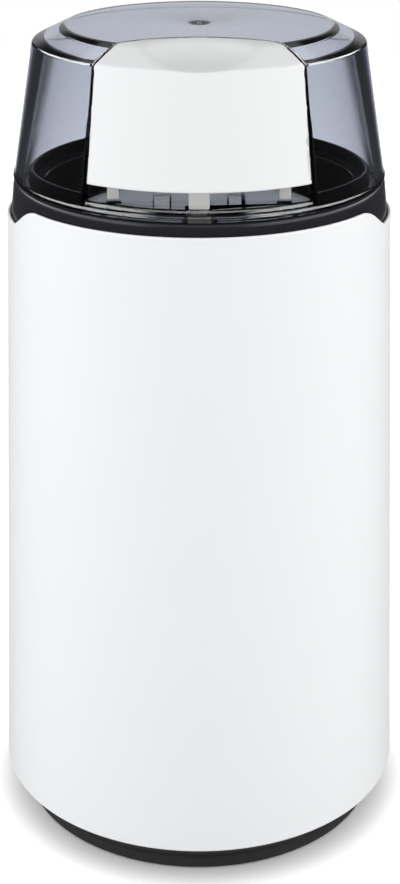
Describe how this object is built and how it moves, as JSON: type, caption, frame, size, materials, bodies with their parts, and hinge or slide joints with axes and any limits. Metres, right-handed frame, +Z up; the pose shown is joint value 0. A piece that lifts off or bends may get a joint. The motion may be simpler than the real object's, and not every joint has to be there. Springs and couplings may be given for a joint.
{
  "type": "electric coffee grinder",
  "caption": "Upright blade coffee grinder with a white tapered body, black collar and base, and a smoked lid whose white front button is pressed to run the blade.",
  "frame": {"origin": "on the table under the middle of the body", "axes": "+Z up along the motor shaft, -Y towards the front where the button is, +X to the right seen from the front"},
  "size_m": [0.09, 0.09, 0.1787],
  "materials": {
    "smoked_plastic": "polished, see-through",
    "white_plastic": "fine satin",
    "white_paint": "satin enamel",
    "black_plastic": "satin moulded",
    "grey_plastic": "moulded",
    "natural_plastic": "moulded",
    "stainless": "brushed",
    "zinc_steel": "zinc plated",
    "lamination": "punched sheet stack",
    "copper": "enamelled wire and copper",
    "bronze": "sintered",
    "carbon": "pressed carbon",
    "rubber": "matt",
    "capacitor_case": "moulded case"
  },
  "bodies": {
    "housing": {"outer_sleeve": "white_paint", "collar": "black_plastic", "bowl_gasket": "rubber", "grinding_bowl": "stainless", "rod_spring": "zinc_steel", "switch_body": "black_plastic", "lever_pin": "zinc_steel", "switch_terminals": "bronze", "shaft_bush": "bronze", "bush_nut": "bronze", "shaft_seal": "rubber", "motor_mount": "grey_plastic", "mount_dampers": "rubber", "mount_screws": "zinc_steel", "stator_core": "lamination", "field_coils": "copper", "brush_holders": "bronze", "carbon_brushes": "carbon", "brush_springs": "zinc_steel", "lower_bridge": "grey_plastic", "lower_bearing": "bronze", "motor_screws": "zinc_steel", "base_cover": "black_plastic", "base_screws": "zinc_steel", "rubber_feet": "rubber", "cord_gland": "rubber", "suppressor_capacitor": "capacitor_case"},
    "lid": {"lid_shell": "smoked_plastic"},
    "button": {"button_cap": "white_plastic"},
    "push_rod": {"push_rod": "natural_plastic"},
    "switch_lever": {"switch_lever": "zinc_steel"},
    "rotor": {"motor_shaft": "zinc_steel", "armature_core": "lamination", "armature_windings": "copper", "commutator": "copper", "cooling_fan": "natural_plastic", "blade_spacer": "zinc_steel", "blade": "stainless", "blade_nut": "zinc_steel"}
  },
  "joints": [
    {"name": "lid_lift", "type": "slide", "parent": "housing", "child": "lid", "axis": [0, 0, 1], "range_m": [0, 0.06]},
    {"name": "button_press", "type": "slide", "parent": "lid", "child": "button", "axis": [0, 0, -1], "range_m": [0, 0.003], "stiffness_N_per_m": 400, "springref_m": -0.005},
    {"name": "rod_slide", "type": "slide", "parent": "housing", "child": "push_rod", "axis": [0, 0, -1], "range_m": [0, 0.003], "deforming": ["rod_spring"]},
    {"name": "lever_turn", "type": "hinge", "parent": "housing", "child": "switch_lever", "pos_m": [-0.0085, -0.0376, 0.0912], "axis": [0, 1, 0], "range_deg": [0, 19]},
    {"name": "blade_spin", "type": "hinge", "parent": "housing", "child": "rotor", "pos_m": [0, 0, 0.117], "axis": [0, 0, 1], "continuous": true}
  ],
  "couplings": [
    {"joint": "rod_slide", "follows": "button_press", "ratio": 1},
    {"joint": "lever_turn", "follows": "button_press", "rad_per_m": 107.63}
  ]
}
